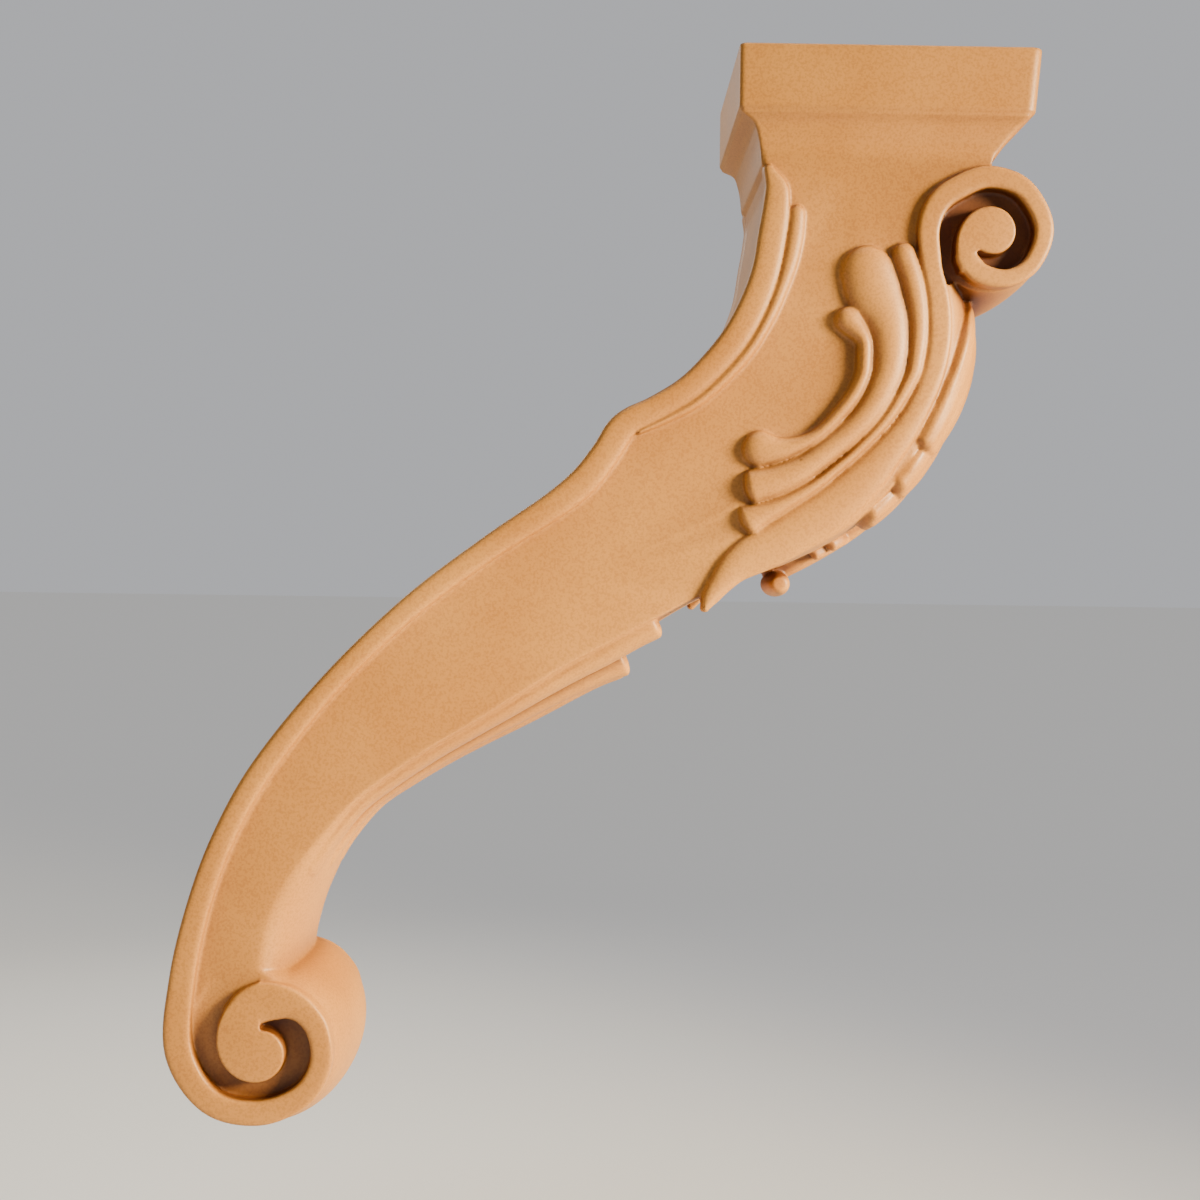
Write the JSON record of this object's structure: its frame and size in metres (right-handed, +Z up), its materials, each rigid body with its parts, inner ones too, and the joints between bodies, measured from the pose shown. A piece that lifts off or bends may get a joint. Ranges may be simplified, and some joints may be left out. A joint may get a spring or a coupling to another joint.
{
  "type": "acanthus corbel",
  "caption": "S-shaped carved corbel with a flared rectangular cap, a volute under it, an acanthus leaf on the knee and a scroll foot.",
  "frame": {"origin": "centre of the cap's flat top face", "axes": "+X to the front, where the knee and its volute stand out, +Y across the width, +Z up"},
  "size_m": [0.3995, 0.1126, 0.4973],
  "materials": {
    "carved_wood": "smooth satin carved wood, warm tan, darker in the recesses, with a fine brown speckle"
  },
  "bodies": {
    "root": {"corbel": "carved_wood"}
  },
  "joints": []
}
